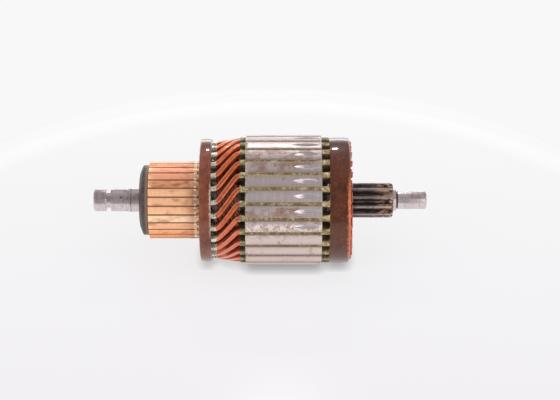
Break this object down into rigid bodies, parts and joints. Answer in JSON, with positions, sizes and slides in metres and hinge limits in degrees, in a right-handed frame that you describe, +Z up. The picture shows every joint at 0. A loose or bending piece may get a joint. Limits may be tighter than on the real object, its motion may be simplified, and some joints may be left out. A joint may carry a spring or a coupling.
{
  "type": "motor armature",
  "caption": "Wound rotor of a geared starter motor: slotted steel core with copper hairpins, banded winding heads, barrel commutator and a shaft with a sun pinion.",
  "frame": {"origin": "middle of the commutator-end journal, on the shaft's axis", "axes": "+X along the shaft from the commutator end to the sun pinion, +Z up"},
  "size_m": [0.1467, 0.0574, 0.0575],
  "materials": {
    "shaft_steel": "ground journals, dull elsewhere, light rust stains",
    "lamination_steel": "turned edge of the lamination stack with varnish stains",
    "liner_paper": "varnished insulating paper",
    "phenolic": "dark phenolic moulding",
    "band_resin": "brown resin over wound glass roving",
    "enamelled_copper": "copper under clear brown enamel, bare at the tails",
    "bar_copper": "bare copper, polished and marked by the brushes"
  },
  "bodies": {
    "root": {"armature_shaft": "shaft_steel", "lamination_core": "lamination_steel", "slot_liners": "liner_paper", "commutator_hub": "phenolic", "commutator_end_band": "band_resin", "drive_end_band": "band_resin", "hairpin_01": "enamelled_copper", "hairpin_02": "enamelled_copper", "hairpin_03": "enamelled_copper", "hairpin_04": "enamelled_copper", "hairpin_05": "enamelled_copper", "hairpin_06": "enamelled_copper", "hairpin_07": "enamelled_copper", "hairpin_08": "enamelled_copper", "hairpin_09": "enamelled_copper", "hairpin_10": "enamelled_copper", "hairpin_11": "enamelled_copper", "hairpin_12": "enamelled_copper", "hairpin_13": "enamelled_copper", "hairpin_14": "enamelled_copper", "hairpin_15": "enamelled_copper", "hairpin_16": "enamelled_copper", "hairpin_17": "enamelled_copper", "hairpin_18": "enamelled_copper", "hairpin_19": "enamelled_copper", "hairpin_20": "enamelled_copper", "hairpin_21": "enamelled_copper", "hairpin_22": "enamelled_copper", "hairpin_23": "enamelled_copper", "hairpin_24": "enamelled_copper", "hairpin_25": "enamelled_copper", "hairpin_26": "enamelled_copper", "hairpin_27": "enamelled_copper", "commutator_bar_01": "bar_copper", "commutator_bar_02": "bar_copper", "commutator_bar_03": "bar_copper", "commutator_bar_04": "bar_copper", "commutator_bar_05": "bar_copper", "commutator_bar_06": "bar_copper", "commutator_bar_07": "bar_copper", "commutator_bar_08": "bar_copper", "commutator_bar_09": "bar_copper", "commutator_bar_10": "bar_copper", "commutator_bar_11": "bar_copper", "commutator_bar_12": "bar_copper", "commutator_bar_13": "bar_copper", "commutator_bar_14": "bar_copper", "commutator_bar_15": "bar_copper", "commutator_bar_16": "bar_copper", "commutator_bar_17": "bar_copper", "commutator_bar_18": "bar_copper", "commutator_bar_19": "bar_copper", "commutator_bar_20": "bar_copper", "commutator_bar_21": "bar_copper", "commutator_bar_22": "bar_copper", "commutator_bar_23": "bar_copper", "commutator_bar_24": "bar_copper", "commutator_bar_25": "bar_copper", "commutator_bar_26": "bar_copper", "commutator_bar_27": "bar_copper"}
  },
  "joints": []
}
